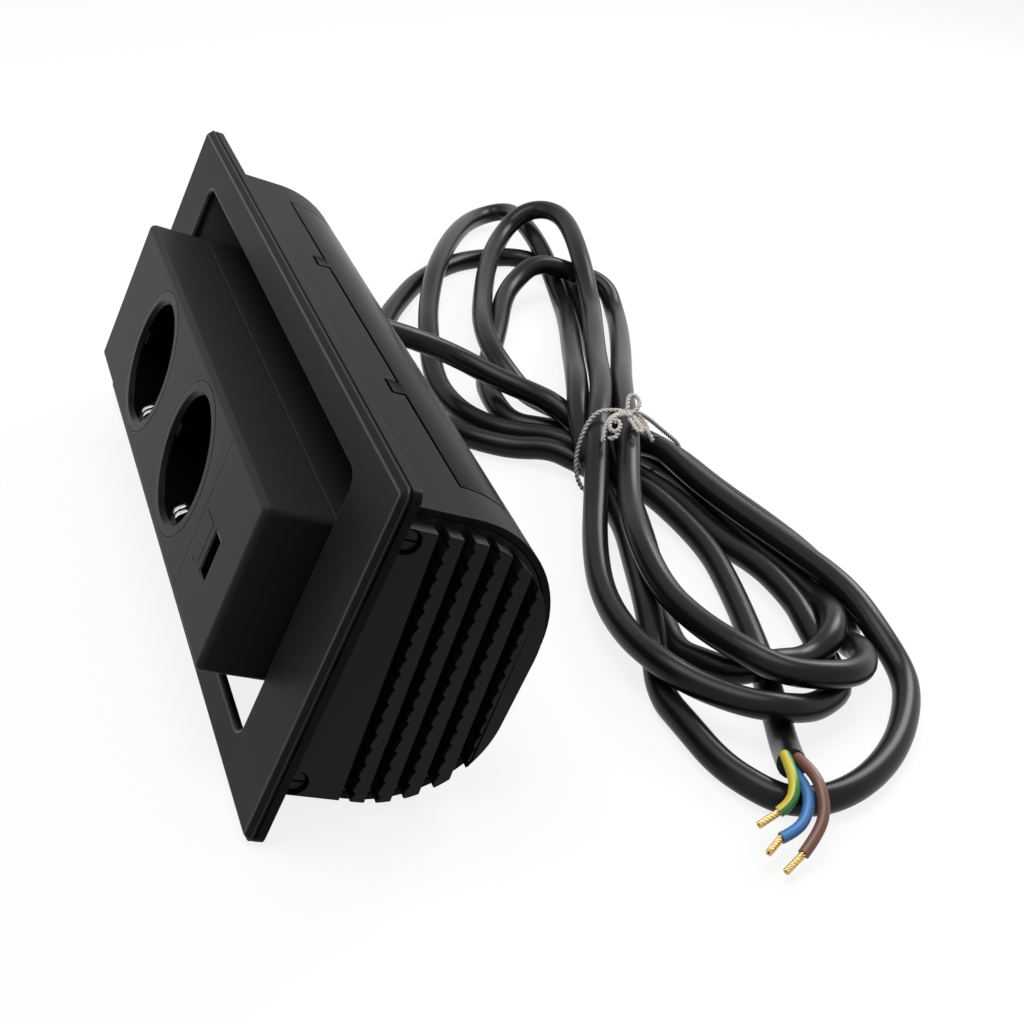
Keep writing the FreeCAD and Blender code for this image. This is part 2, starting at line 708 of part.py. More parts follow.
def usb_tongue():
    """The contact carrier in the port: a foot on the shell's floor and the tongue on it."""
    floor = panel_top_z - usb_sink - usb_depth + usb_sheet
    x0 = usb_x - tongue_width / 2 + tongue_offset
    foot_half = usb_width / 2 - usb_sheet - usb_fit
    y0 = usb_y - tongue_length / 2
    y1 = usb_y + tongue_length / 2
    foot = box(usb_x - foot_half, usb_x + foot_half, y0, y1, floor, floor + tongue_foot)
    tongue = box(x0, x0 + tongue_width, y0, y1, floor, floor + tongue_foot + tongue_reach)
    return foot.fuse(tongue).removeSplitter()


def usb_board():
    length, width, thickness = board_size
    top = panel_top_z - usb_sink - usb_depth
    x0 = usb_x - length / 2
    y0 = usb_y - width / 2
    return box(x0, x0 + length, y0, y0 + width, top - thickness, top)


# Pivot
def pivot_sleeve():
    """A hollow pin from inside the block, through its hub and the bush. The wires run through it."""
    inner_x = block_half_length - block_wall - sleeve_flange
    outer_x = bulkhead_outer_x + bush_tail + sleeve_tail
    start = V(inner_x, 0, rotor_axis_z)
    pin = rod(start, X_AXIS, sleeve_outer_r, outer_x - inner_x)
    flange = rod(start, X_AXIS, sleeve_flange_r, sleeve_flange)
    return pin.fuse(flange).removeSplitter().cut(rod(start, X_AXIS, sleeve_inner_r, outer_x - inner_x))


def bush():
    start = V(bulkhead_inner_x - bush_flange, 0, rotor_axis_z)
    body = rod(start, X_AXIS, bush_r, bush_flange + bulkhead_wall + bush_tail)
    flange = rod(start, X_AXIS, bush_flange_r, bush_flange)
    bore = rod(start, X_AXIS, sleeve_outer_r + running_fit, bush_flange + bulkhead_wall + bush_tail)
    return body.fuse(flange).removeSplitter().cut(bore)


def friction_washer():
    start = V(hub_end_x + washer_play, 0, rotor_axis_z)
    ring = rod(start, X_AXIS, hub_r - washer_edge_gap, washer_sheet)
    return ring.cut(rod(start, X_AXIS, sleeve_outer_r + running_fit, washer_sheet))


# Lead entry and terminals
def strain_relief():
    """Neck through the housing, flange against it and a tapered ribbed sleeve round the lead."""
    neck_z = -shell_depth + shell_wall + relief_neck_reach
    seat_z = -shell_depth - relief_seat_gap
    profile = [V(0, 0, neck_z), V(relief_neck_r, 0, neck_z),
               V(relief_neck_r, 0, seat_z), V(relief_flange_r, 0, seat_z),
               V(relief_flange_r, 0, -shell_depth - relief_flange),
               V(relief_r, 0, -shell_depth - relief_flange),
               V(relief_tip_r, 0, relief_tip_z), V(0, 0, relief_tip_z)]
    body = Part.Face(Part.makePolygon(profile + profile[:1])).revolve(V(0, 0, 0), Z_AXIS, 360)
    grooves = []
    for number in range(relief_grooves):
        z = -shell_depth - relief_flange - relief_groove_first - number * relief_groove_pitch
        ring = rod(V(0, 0, z), Z_AXIS, relief_r + 1, relief_groove_width)
        core = rod(V(0, 0, z), Z_AXIS, cord_r + relief_groove_wall, relief_groove_width)
        grooves.append(ring.cut(core))
    bore = rod(V(0, 0, relief_tip_z - 1), Z_AXIS, cord_r + relief_fit, neck_z - relief_tip_z + 2)
    body = body.cut(grooves + [bore])
    body.translate(V(cord_x, cord_y, 0))
    return body


def clamp_screw_place(side):
    return V(-cap_inner_x, cord_y + side * clamp_screw_y, clamp_z + clamp_height / 2)


def cable_clamp():
    """A saddle round the sheath, screwed to the bulkhead inside the far end."""
    x0 = clamp_inset - cap_inner_x
    half = clamp_screw_y + clamp_screw_head_r + clamp_edge
    bar = box(x0, -bulkhead_outer_x, cord_y - half, cord_y + half, clamp_z, clamp_z + clamp_height)
    cuts = [rod(V(cord_x, cord_y, clamp_z), Z_AXIS, cord_r + relief_fit, clamp_height)]
    for side in (1, -1):
        place = clamp_screw_place(side)
        cuts.append(rod(place, X_AXIS, clamp_screw_head_r + relief_fit, screw_head_height + clamp_screw_sink))
        cuts.append(rod(place, X_AXIS, screw_shank_r + relief_fit, cap_inner_x))
    return bar.cut(cuts)


def clamp_screws():
    screws = []
    for side in (1, -1):
        head = clamp_screw_place(side) + X_AXIS * clamp_screw_sink
        reach = cap_inner_x - bulkhead_inner_x - clamp_screw_sink
        screws.append(screw(head, X_AXIS, reach, clamp_screw_head_r))
    return Part.makeCompound(screws)


def terminal_places():
    return [terminal_y + number * terminal_size[1] / terminal_poles for number in (-1, 0, 1)]


def terminal_block():
    length, width, height = terminal_size
    block = box(terminal_x - length / 2, terminal_x + length / 2, terminal_y - width / 2,
                terminal_y + width / 2, terminal_z - height / 2, terminal_z + height / 2)
    cuts = []
    for y in terminal_places():
        cuts.append(rod(V(cord_x, y, terminal_z - height), Z_AXIS, terminal_bore_r, 2 * height))
        cuts.append(rod(V(terminal_x - length, y, terminal_z), X_AXIS, screw_shank_r + seat_fit, length))
    return block.cut(cuts)


def terminal_screws():
    """Grub screws that stop just short of the wire bores."""
    outer = terminal_x - terminal_size[0] / 2 + terminal_screw_sink
    reach = cord_x - terminal_bore_r - outer
    places = [V(outer, y, terminal_z) for y in terminal_places()]
    return Part.makeCompound([rod(place, X_AXIS, screw_shank_r, reach) for place in places])


# Rounded runs for the lead
def rounded_path(points):
    """Straight runs joined by tangent arcs, each as large as its two runs allow."""
    edges = []
    radii = []
    start = points[0]
    for before, corner, after in zip(points, points[1:], points[2:]):
        run_in = corner - before
        run_out = after - corner
        turn = run_in.getAngle(run_out)
        trim = 0.45 * min(run_in.Length, run_out.Length)
        radii.append(trim / math.tan(turn / 2))
        into = V(run_in).normalize()
        out = V(run_out).normalize()
        arc_in = corner - into * trim
        arc_out = corner + out * trim
        middle = corner + (out - into).normalize() * (radii[-1] / math.cos(turn / 2) - radii[-1])
        edges.append(Part.LineSegment(start, arc_in).toShape())
        edges.append(Part.Arc(arc_in, middle, arc_out).toShape())
        start = arc_out
    edges.append(Part.LineSegment(start, points[-1]).toShape())
    return Part.Wire(edges), radii


def tube(name, points, radius):
    path, radii = rounded_path(points)
    direction = points[1] - points[0]
    ring = Part.Wire(Part.makeCircle(radius, points[0], direction))
    solid = path.makePipeShell([ring], True, False)
    expected = math.pi * radius * radius * path.Length
    print(name, "length", round(path.Length, 1), "radii", [round(r) for r in radii],
          "volume ratio", round(solid.Volume / expected, 4))
    return solid


# The lead on the table, in u along the module, v away from its back and h above the table
lay_up = V(0, math.cos(math.radians(lay_tilt_deg)), math.sin(math.radians(lay_tilt_deg)))
lay_away = V(0, math.sin(math.radians(lay_tilt_deg)), -math.cos(math.radians(lay_tilt_deg)))
lay_origin = lay_up * lay_flange_edge.dot(lay_up)


def on_table(u, v, h):
    return lay_origin + X_AXIS * u + lay_away * v + lay_up * h


lead_points = [(-112.0, 102.0, 26.2), (-104.0, 121.0, 20.0), (-93.0, 140.0, 14.0), (-84.0, 153.0, 10.0)]
tail_points = [(102.0, 154.0, 6.0), (122.0, 148.3, 6.3), (143.3, 137.2, 14.0)]
brown_points = [(142.2, 139.8, 14.4), (154.0, 140.9, 15.9), (164.4, 136.8, 9.6), (171.5, 128.2, 5.5)]
blue_points = [(142.1, 137.9, 11.4), (155.5, 137.2, 12.2), (162.2, 131.4, 7.6), (165.2, 124.2, 6.5)]
earth_points = [(140.5, 136.6, 14.4), (153.0, 133.6, 15.4), (158.6, 126.1, 10.0)]

# Outlines of the tied hank, with the gaps that its turns leave: far lobe, near lobe and waist
hank_floor = 0.4
far_lobe_top = 16.0
near_low_top = 9.6
near_high_top = 23.0
waist_top = 29.5
waist_floor = 3.2
waist_u = (-62, -28)
waist_v = (142, 177)
tie_u = (-46.5, -43.5)
tie_string = 2.4
tie_fit = 0.3
far_lobe = [(-56, 134), (-72, 102), (-95, 90), (-130, 87), (-165, 92), (-198, 110), (-230, 138), (-260, 152),
            (-288, 170), (-301, 188), (-300, 203), (-284, 209), (-262, 216), (-220, 214), (-205, 223),
            (-188, 225), (-150, 213), (-110, 196), (-76, 182), (-56, 176)]
far_gaps = [
    [(-192, 121), (-160, 102), (-128, 97), (-96, 101), (-82, 108), (-108, 104), (-140, 108)],
    [(-208, 139), (-165, 123), (-118, 115), (-90, 120), (-78, 134), (-98, 123), (-140, 129), (-180, 142)],
    [(-204, 176), (-180, 160), (-148, 146), (-122, 142), (-104, 149), (-98, 158), (-140, 173), (-176, 186)],
    [(-288, 184), (-258, 163), (-250, 172), (-262, 186), (-276, 197), (-288, 196)],
]
near_low = [(-34, 136), (0, 134), (40, 126), (80, 116), (105, 113), (136, 121), (152, 134), (156, 150),
            (146, 172), (128, 193), (108, 207), (64, 209), (34, 212), (0, 204), (-34, 189)]
near_high = [(-34, 136), (0, 123), (36, 112), (72, 109), (98, 115), (117, 132), (124, 152), (119, 176),
             (102, 194), (60, 200), (0, 196), (-34, 184)]
near_gaps = [
    [(124, 176), (129, 152), (121, 134), (110, 123), (132, 129), (145, 144), (140, 164), (114, 196)],
    [(6, 156), (44, 145), (76, 140), (90, 150), (60, 160), (22, 164)],
    [(-6, 171), (22, 176), (58, 170), (92, 164), (84, 176), (54, 180), (20, 179)],
]


def table_plate(points, bottom, top):
    return outline([on_table(u, v, bottom) for u, v in points], lay_up * (top - bottom))


def widened(span, margin):
    return (span[0] - margin, span[1] + margin)


def band(u_span, v_span):
    """The corners of a rectangle on the table."""
    return [(u_span[0], v_span[0]), (u_span[0], v_span[1]), (u_span[1], v_span[1]), (u_span[1], v_span[0])]


def hank():
    far = table_plate(far_lobe, hank_floor, far_lobe_top)
    far = far.cut([table_plate(gap, hank_floor, far_lobe_top) for gap in far_gaps])
    low = table_plate(near_low, hank_floor, near_low_top)
    high = table_plate(near_high, near_low_top, near_high_top)
    near = low.fuse(high).cut([table_plate(gap, hank_floor, near_high_top) for gap in near_gaps])
    waist = table_plate(band(waist_u, waist_v), waist_floor, waist_top)
    return fuse([far, near, waist])


def cord_tie():
    """The string's loop round the waist of the hank, a little clear of it."""
    inner_v = widened(waist_v, tie_fit)
    outer_v = widened(inner_v, tie_string)
    low = waist_floor - tie_fit
    high = waist_top + tie_fit
    outer = table_plate(band(tie_u, outer_v), low - tie_string, high + tie_string)
    return outer.cut(table_plate(band(tie_u, inner_v), low, high))


def build():
    save("front_frame", front_frame())
    save("housing", housing())
    save("bottom_cover", bottom_cover())
    cap = end_cap()
    save("end_cap_near", cap)
    save("end_cap_far", mirrored(cap))
    save("end_cap_screws", cap_screws())
    save("socket_panel", socket_panel())
    save("usb_panel", usb_panel())
    save("rotor_shell", rotor_shell())
    save("rotor_lid", rotor_lid())
    save("rotor_screws", rotor_screws())
    for number, x in enumerate(socket_x, 1):
        save("socket_insert_%d" % number, socket_insert(x))
        save("earth_bracket_%d" % number, earth_bracket(x))
    save("contact_bar_line", contact_bar(1))
    save("contact_bar_neutral", contact_bar(-1))
    save("usb_shell", usb_shell())
    save("usb_tongue", usb_tongue())
    save("usb_board", usb_board())
    save("pivot_sleeve_near", pivot_sleeve())
    save("pivot_sleeve_far", mirrored(pivot_sleeve()))
    save("bush_near", bush())
    save("bush_far", mirrored(bush()))
    save("friction_washer_near", friction_washer())
    save("friction_washer_far", mirrored(friction_washer()))
    save("strain_relief", strain_relief())
    save("cable_clamp", cable_clamp())
    save("clamp_screws", clamp_screws())
    save("terminal_block", terminal_block())
    save("terminal_screws", terminal_screws())
    inside = V(cord_x, cord_y, sheath_end_z)
    mouth = V(cord_x, cord_y, relief_tip_z - relief_mouth_gap)
    save("cord_lead", tube("cord_lead", [inside, mouth] + [on_table(*p) for p in lead_points], cord_r))
    save("cord_hank", hank())
    save("cord_tie", cord_tie())
    save("cord_tail", tube("cord_tail", [on_table(*p) for p in tail_points], cord_r))
    for name, points in (("brown", brown_points), ("blue", blue_points), ("green_yellow", earth_points)):
        save("core_" + name, tube("core_" + name, [on_table(*p) for p in points], core_r))
    tips = []
    for points in (brown_points, blue_points, earth_points):
        end = on_table(*points[-1])
        direction = end - on_table(*points[-2])
        tips.append(rod(end, direction, core_tip_r, core_tip_length))
    save("core_tips", Part.makeCompound(tips))


build()
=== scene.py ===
"""Power module for a worktop, lying on one long side, with its mains lead tied in a loose hank."""
import math

import bmesh
import bpy
from mathutils import Matrix, Vector


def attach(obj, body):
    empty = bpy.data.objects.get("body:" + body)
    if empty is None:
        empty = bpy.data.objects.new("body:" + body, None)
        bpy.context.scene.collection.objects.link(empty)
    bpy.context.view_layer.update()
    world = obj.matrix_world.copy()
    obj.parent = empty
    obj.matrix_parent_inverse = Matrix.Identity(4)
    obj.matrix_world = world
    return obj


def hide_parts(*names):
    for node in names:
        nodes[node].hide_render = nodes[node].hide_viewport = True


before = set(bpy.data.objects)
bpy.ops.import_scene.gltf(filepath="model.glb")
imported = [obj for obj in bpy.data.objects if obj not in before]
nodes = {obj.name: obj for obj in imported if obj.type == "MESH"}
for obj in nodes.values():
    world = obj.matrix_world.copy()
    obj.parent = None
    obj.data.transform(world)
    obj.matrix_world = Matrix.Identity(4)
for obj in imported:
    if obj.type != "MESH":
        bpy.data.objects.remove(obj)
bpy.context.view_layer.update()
scene = bpy.context.scene
scene.view_settings.view_transform = "Standard"
MM = 0.001
WHITE = (1, 1, 1, 1)

# How the module lies: the table touches the flange's edge and the drum's side
FLANGE_HALF = (133.0, 56.65)
LAY_TILT = math.radians(17.5)
UP = Vector((0, math.cos(LAY_TILT), math.sin(LAY_TILT)))
AWAY = Vector((0, math.sin(LAY_TILT), -math.cos(LAY_TILT)))
ALONG = Vector((1, 0, 0))
TABLE = UP * (-FLANGE_HALF[1] * MM * UP.y)


def on_table(u, v, h):
    """A place u along the module, v back from its flange and h above the table, in millimetres."""
    return TABLE + (ALONG * u + AWAY * v + UP * h) * MM


# Building blocks of the shaders
def feed(tree, node, values):
    """Give a node's inputs plain values, or link them to the outputs of other nodes."""
    for socket, value in values.items():
        if isinstance(value, bpy.types.NodeSocket):
            tree.links.new(value, node.inputs[socket])
        else:
            node.inputs[socket].default_value = value


def add_node(tree, kind, values=None, **settings):
    """A new node with its settings made and its inputs fed."""
    node = tree.nodes.new("ShaderNode" + kind)
    for setting, value in settings.items():
        setattr(node, setting, value)
    feed(tree, node, values or {})
    return node


def compute(tree, operation, *values, **settings):
    """The output of a new Math node."""
    node = add_node(tree, "Math", dict(enumerate(values)), operation=operation, **settings)
    return node.outputs[0]


def mix_shaders(tree, share, first, second):
    return add_node(tree, "MixShader", {0: share, 1: first.outputs[0], 2: second.outputs[0]})


def seen_directly(tree):
    """1 for camera, glossy and transmission rays, else 0."""
    rays = add_node(tree, "LightPath").outputs
    direct = compute(tree, "MAXIMUM", rays["Is Camera Ray"], rays["Is Glossy Ray"])
    return compute(tree, "MAXIMUM", direct, rays["Is Transmission Ray"])


# Camera and studio
ROOM_LIGHT = 0.35
TABLE_TONE = 0.88
TABLE_GLOW = 0.85


def add_camera():
    """The photograph's own view, solved from the flange, the drum and the block."""
    turn = [math.radians(angle) for angle in (24.099, 57.737, 50.324)]
    bpy.ops.object.camera_add(location=(0.4602, 0.2169, 0.1785), rotation=turn)
    camera = bpy.context.object
    camera.data.sensor_width = 36.0
    camera.data.lens = 57.778
    camera.data.shift_x = -0.02043
    camera.data.shift_y = -0.08361
    camera.data.clip_start = 0.01
    camera.data.clip_end = 20.0
    scene.camera = camera


def add_softbox(name, place, target, side, power):
    """A square lamp at a place, turned towards a target."""
    bpy.ops.object.light_add(type="AREA", location=place)
    lamp = bpy.context.object
    lamp.name = name
    lamp.data.shape = "SQUARE"
    lamp.data.size = side
    lamp.data.energy = power
    lamp.rotation_euler = (target - place).to_track_quat("-Z", "Y").to_euler()


def white_world():
    """Plain white where it is seen, and weaker where it lights the object."""
    world = bpy.data.worlds.new("studio")
    scene.world = world
    world.use_nodes = True
    tree = world.node_tree
    tree.nodes.clear()
    light = add_node(tree, "Background", {"Color": WHITE, "Strength": ROOM_LIGHT})
    seen = add_node(tree, "Background", {"Color": WHITE, "Strength": 1.0})
    mix = mix_shaders(tree, seen_directly(tree), light, seen)
    add_node(tree, "OutputWorld", {"Surface": mix.outputs[0]})


def table_white():
    """A pale top that stays white where it is seen. From below it is clear."""
    material = bpy.data.materials.new("table_white")
    material.use_nodes = True
    tree = material.node_tree
    tree.nodes.clear()
    matt = add_node(tree, "BsdfDiffuse", {"Color": (TABLE_TONE, TABLE_TONE, TABLE_TONE, 1)})
    glow = add_node(tree, "Emission", {"Color": WHITE, "Strength": seen_directly(tree)})
    pale = mix_shaders(tree, TABLE_GLOW, matt, glow)
    clear = add_node(tree, "BsdfTransparent")
    from_below = add_node(tree, "NewGeometry").outputs["Backfacing"]
    mix = mix_shaders(tree, from_below, pale, clear)
    add_node(tree, "OutputMaterial", {"Surface": mix.outputs[0]})
    return material


def add_table():
    bpy.ops.mesh.primitive_plane_add(size=6.0)
    table = bpy.context.object
    table.name = "table_top"
    turn = UP.to_track_quat("Z", "Y").to_matrix().to_4x4()
    table.data.transform(Matrix.Translation(TABLE) @ turn)
    table.data.materials.append(table_white())


add_camera()
white_world()
add_table()
add_softbox("key", on_table(0, -60, 1000), on_table(0, 60, 0), 0.6, 6.6)
add_softbox("rim", on_table(-430, 780, 620), on_table(60, 140, 0), 0.45, 6.0)
add_softbox("panel_fill", on_table(-150, -800, 500), on_table(0, 0, 40), 0.7, 2.4)


# Finishes
GRAIN_INPUTS = {
    "Color": ("Color", (0.05, 0.05, 0.05, 1)), "Roughness": ("Float", 0.5),
    "Grain Scale": ("Float", 2600.0), "Grain Depth": ("Float", 0.2),
    "Tone Change": ("Float", 0.12), "Gloss Change": ("Float", 0.08),
}
GRAIN_OUTPUTS = {"Color": "Color", "Roughness": "Float", "Normal": "Vector"}


def moulded_grain():
    """Fine eroded grain of a moulded face, with a slow change of tone and gloss over it."""
    tree = bpy.data.node_groups.new("moulded_grain", "ShaderNodeTree")
    for title, (kind, value) in GRAIN_INPUTS.items():
        socket = tree.interface.new_socket(title, in_out="INPUT", socket_type="NodeSocket" + kind)
        socket.default_value = value
    for title, kind in GRAIN_OUTPUTS.items():
        tree.interface.new_socket(title, in_out="OUTPUT", socket_type="NodeSocket" + kind)
    given = tree.nodes.new("NodeGroupInput").outputs
    place = add_node(tree, "TexCoord").outputs["Object"]
    grain = add_node(tree, "TexNoise", {
        "Vector": place, "Scale": given["Grain Scale"], "Detail": 3.0, "Roughness": 0.6})
    bump = add_node(tree, "Bump", {
        "Strength": given["Grain Depth"], "Distance": 0.06 * MM, "Height": grain.outputs["Fac"]})
    cloud = add_node(tree, "TexNoise", {"Vector": place, "Scale": 26.0, "Detail": 4.0})
    change = compute(tree, "SUBTRACT", cloud.outputs["Fac"], 0.5)
    tone = compute(tree, "MULTIPLY_ADD", change, given["Tone Change"], 1.0)
    tinted = add_node(tree, "VectorMath", {0: given["Color"], "Scale": tone}, operation="SCALE")
    gloss = compute(tree, "MULTIPLY_ADD", change, given["Gloss Change"], given["Roughness"],
                    use_clamp=True)
    feed(tree, tree.nodes.new("NodeGroupOutput"), {
        "Color": tinted.outputs[0], "Roughness": gloss, "Normal": bump.outputs[0]})
    return tree


grain_group = moulded_grain()


def moulded(name, color, roughness, scale=2600.0, depth=0.2, tone=0.12, gloss=0.08, ior=1.5,
            metallic=0.0):
    """A moulded plastic or rubber with its own grain. A low ior mirrors less of the white room."""
    material = bpy.data.materials.new(name)
    material.use_nodes = True
    tree = material.node_tree
    grain = add_node(tree, "Group", {
        "Color": (*color, 1), "Roughness": roughness, "Grain Scale": scale, "Grain Depth": depth,
        "Tone Change": tone, "Gloss Change": gloss}, node_tree=grain_group, name="grain")
    feed(tree, tree.nodes["Principled BSDF"], {
        "Base Color": grain.outputs["Color"], "Roughness": grain.outputs["Roughness"],
        "Normal": grain.outputs["Normal"], "IOR": ior, "Metallic": metallic})
    return material


def metal(name, color, roughness):
    return moulded(name, color, roughness, scale=1500.0, depth=0.1, tone=0.1, gloss=0.15,
                   metallic=1.0)


def insulation(name, color, roughness=0.4):
    return moulded(name, color, roughness, scale=1200.0, depth=0.1)


def striped(name, first, second):
    """Insulation with two lengthwise stripes, which follow the core's own map."""
    material = insulation(name, first, 0.38)
    tree = material.node_tree
    place = add_node(tree, "UVMap").outputs["UV"]
    way_round = add_node(tree, "SeparateXYZ", {0: place}).outputs["Y"]
    wave = compute(tree, "SINE", compute(tree, "MULTIPLY", way_round, 2 * math.tau))
    stripe = compute(tree, "GREATER_THAN", wave, -0.15)
    mix = add_node(tree, "Mix", data_type="RGBA")
    feed(tree, mix, {"Factor": stripe, "A": (*first, 1), "B": (*second, 1)})
    feed(tree, tree.nodes["grain"], {"Color": mix.outputs["Result"]})
    return material


frame_matt = moulded("frame_matt", (0.010, 0.010, 0.0112), 0.42, depth=0.22, ior=1.13)
panel_matt = moulded("panel_matt", (0.017, 0.017, 0.0182), 0.44, depth=0.25, ior=1.16)
rotor_satin = moulded("rotor_satin", (0.019, 0.019, 0.0205), 0.4, depth=0.15, ior=1.25)
insert_satin = moulded("insert_satin", (0.002, 0.002, 0.0022), 0.26, depth=0.1, ior=1.13)
housing_satin = moulded("housing_satin", (0.0065, 0.0065, 0.007), 0.36, depth=0.12, ior=1.12)
drum_inside = moulded("drum_inside", (0.13, 0.127, 0.127), 0.5, depth=0.12, ior=1.3)
cover_gloss = moulded("cover_gloss", (0.0035, 0.0035, 0.004), 0.24, depth=0.06, ior=1.08)
cap_satin = moulded("cap_satin", (0.0055, 0.0055, 0.006), 0.4, depth=0.15, ior=1.22)
# A lighter, glossier finish for rounded edges. Its lighter colour is a painted highlight along the
# edges.
painted_edge_highlight = moulded("painted_edge_highlight", (0.03, 0.03, 0.032), 0.36, depth=0.1, ior=1.3)
tongue_black = moulded("tongue_black", (0.01, 0.01, 0.01), 0.4)
bush_white = moulded("bush_white", (0.6, 0.6, 0.58), 0.4)
board_green = moulded("board_green", (0.02, 0.12, 0.05), 0.35)
mark_black = moulded("mark_black", (0.002, 0.002, 0.002), 0.5, depth=0.1, ior=1.13)
relief_rubber = moulded("relief_rubber", (0.008, 0.008, 0.008), 0.5, depth=0.3, ior=1.33)
sheath_rubber = moulded("sheath_rubber", (0.0062, 0.006, 0.007), 0.3, scale=900.0, depth=0.1,
                        ior=1.27)
string_grey = moulded("string_grey", (0.52, 0.49, 0.45), 0.8, scale=1800.0, depth=0.6, tone=0.3)
blackened_steel = metal("blackened_steel", (0.014, 0.014, 0.015), 0.45)
port_steel = metal("port_steel", (0.035, 0.034, 0.034), 0.32)
bright_steel = metal("bright_steel", (0.62, 0.61, 0.59), 0.22)
bright_brass = metal("bright_brass", (0.6, 0.41, 0.16), 0.25)
CORE_FINISH = {
    "brown": insulation("core_brown", (0.16, 0.065, 0.04)),
    "blue": insulation("core_blue", (0.05, 0.185, 0.46)),
    "green_yellow": striped("core_green_yellow", (0.03, 0.2, 0.03), (0.62, 0.5, 0.03)),
}

# The finish of each solid. What isn't named here is bright steel.
FINISH = {
    "front_frame": frame_matt, "rotor_lid": frame_matt,
    "socket_panel": panel_matt, "usb_panel": panel_matt, "rotor_shell": rotor_satin,
    "socket_insert_1": insert_satin, "socket_insert_2": insert_satin,
    "housing": housing_satin, "bottom_cover": cover_gloss,
    "end_cap_near": cap_satin, "end_cap_far": cap_satin, "cable_clamp": cap_satin,
    "end_cap_screws": blackened_steel, "strain_relief": relief_rubber,
    "usb_shell": port_steel, "usb_tongue": tongue_black, "usb_board": board_green,
    "bush_near": bush_white, "bush_far": bush_white, "terminal_block": bush_white,
    "terminal_screws": bright_brass, "contact_bar_line": bright_brass,
    "contact_bar_neutral": bright_brass,
}
for name, node in nodes.items():
    node.data.materials.clear()
    node.data.materials.append(FINISH.get(name, bright_steel))

# Places on the block, in millimetres
PANEL_TOP = 22.9
BLOCK_MID_Y = -1.15
SOCKET_X = (-39.4, 26.1)
ROTOR_PIECES = ("socket_panel", "usb_panel", "rotor_shell", "rotor_lid")


# Modelling steps that several pieces share. Their lengths are in millimetres.
def only(item):
    bpy.ops.object.select_all(action="DESELECT")
    item.select_set(True)
    bpy.context.view_layer.objects.active = item


def edit_all(item):
    only(item)
    bpy.ops.object.mode_set(mode="EDIT")
    bpy.ops.mesh.select_all(action="SELECT")


def stop_edit():
    bpy.ops.object.mode_set(mode="OBJECT")


def new_item(name, data):
    """A new object at the origin for a mesh or a curve."""
    item = bpy.data.objects.new(name, data)
    scene.collection.objects.link(item)
    return item


def start_piece(add_primitive, **size):
    """A primitive at the origin, in edit mode, to be shaped into a piece."""
    bpy.ops.object.select_all(action="DESELECT")
    add_primitive(location=(0, 0, 0), **size)
    item = bpy.context.object
    edit_all(item)
    return item


def move(x, y, z):
    bpy.ops.transform.translate(value=(x * MM, y * MM, z * MM))


def stretch(x, y, z=1.0):
    """Scale what is selected about the origin."""
    bpy.ops.transform.resize(value=(x, y, z), center_override=(0, 0, 0))


def draw_out(x, y, z):
    """Extrude the selected edges."""
    bpy.ops.mesh.extrude_edges_move(TRANSFORM_OT_translate={"value": (x * MM, y * MM, z * MM)})


def face_outwards():
    """Turn every face of the piece in edit mode to the outside."""
    bpy.ops.mesh.select_all(action="SELECT")
    bpy.ops.mesh.normals_make_consistent(inside=False)


def merge_doubles():
    bpy.ops.mesh.select_all(action="SELECT")
    bpy.ops.mesh.remove_doubles(threshold=0.01 * MM)


def pick(item, kind, test):
    """Select only the faces or edges of a piece in edit mode that pass a test."""
    bpy.ops.mesh.select_all(action="DESELECT")
    bpy.ops.mesh.select_mode(type=kind)
    mesh = bmesh.from_edit_mesh(item.data)
    for part in mesh.faces if kind == "FACE" else mesh.edges:
        if test(part):
            part.select_set(True)
    mesh.select_flush_mode()
    bmesh.update_edit_mesh(item.data)


def merged_copy(name):
    """A copy of a CAD node with its loose triangles joined and its flat faces whole."""
    item = new_item(name + "_moulded", nodes[name].data.copy())
    edit_all(item)
    bpy.ops.mesh.customdata_custom_splitnormals_clear()
    merge_doubles()
    bpy.ops.mesh.dissolve_limited(angle_limit=math.radians(0.5))
    stop_edit()
    return item


def apply_modifiers(item):
    only(item)
    for modifier in list(item.modifiers):
        bpy.ops.object.modifier_apply(modifier=modifier.name)


def round_edges(item, width, segments=2, angle=33.0):
    """A live bevel on every edge that turns by more than an angle."""
    bevel = item.modifiers.new("edge", "BEVEL")
    bevel.width = width * MM
    bevel.segments = segments
    bevel.limit_method = "ANGLE"
    bevel.angle_limit = math.radians(angle)
    return bevel


def soften(item, width, segments=2, edge_highlight=None):
    """Round every sharp edge a little, as a mould leaves it. The rounded edges alone may get a
    lighter finish of their own, a painted highlight.
    """
    bevel = round_edges(item, width, segments)
    bevel.use_clamp_overlap = False
    if edge_highlight:
        # The bevel's own faces get the lighter finish, a painted highlight.
        item.data.materials.append(edge_highlight)
        bevel.material = len(item.data.materials) - 1
    apply_modifiers(item)
    edit_all(item)
    bpy.ops.mesh.dissolve_degenerate(threshold=0.002 * MM)
    stop_edit()
    bpy.ops.object.shade_smooth_by_angle(angle=math.radians(38))
    weighted = item.modifiers.new("shading", "WEIGHTED_NORMAL")
    weighted.keep_sharp = True
    apply_modifiers(item)


def finish_faces(item, material, test):
    """Give the faces that pass a test a finish of their own."""
    item.data.materials.append(material)
    edit_all(item)
    pick(item, "FACE", test)
    item.active_material_index = len(item.data.materials) - 1
    bpy.ops.object.material_slot_assign()
    stop_edit()


# The hollow of the drum, and the narrow gap between the front frame and the flange
DRUM_HALF_LENGTH = 104.7
DRUM_AXIS_Z = -20.0
FLANGE_CORNER_R = 3.0
GAP_LOW, GAP_HIGH, GAP_DEPTH = 2.8, 3.5, 0.7


def inside_drum(face):
    """Whether a face looks into the hollow of the drum."""
    x, y, z = face.calc_center_median() / MM
    if abs(x) > DRUM_HALF_LENGTH or z > GAP_LOW - 0.1:
        return False
    from_axis = Vector((0, y, z - DRUM_AXIS_Z))
    return face.normal.dot(from_axis) < 0 or face.normal.x * x < -0.9 * abs(x)


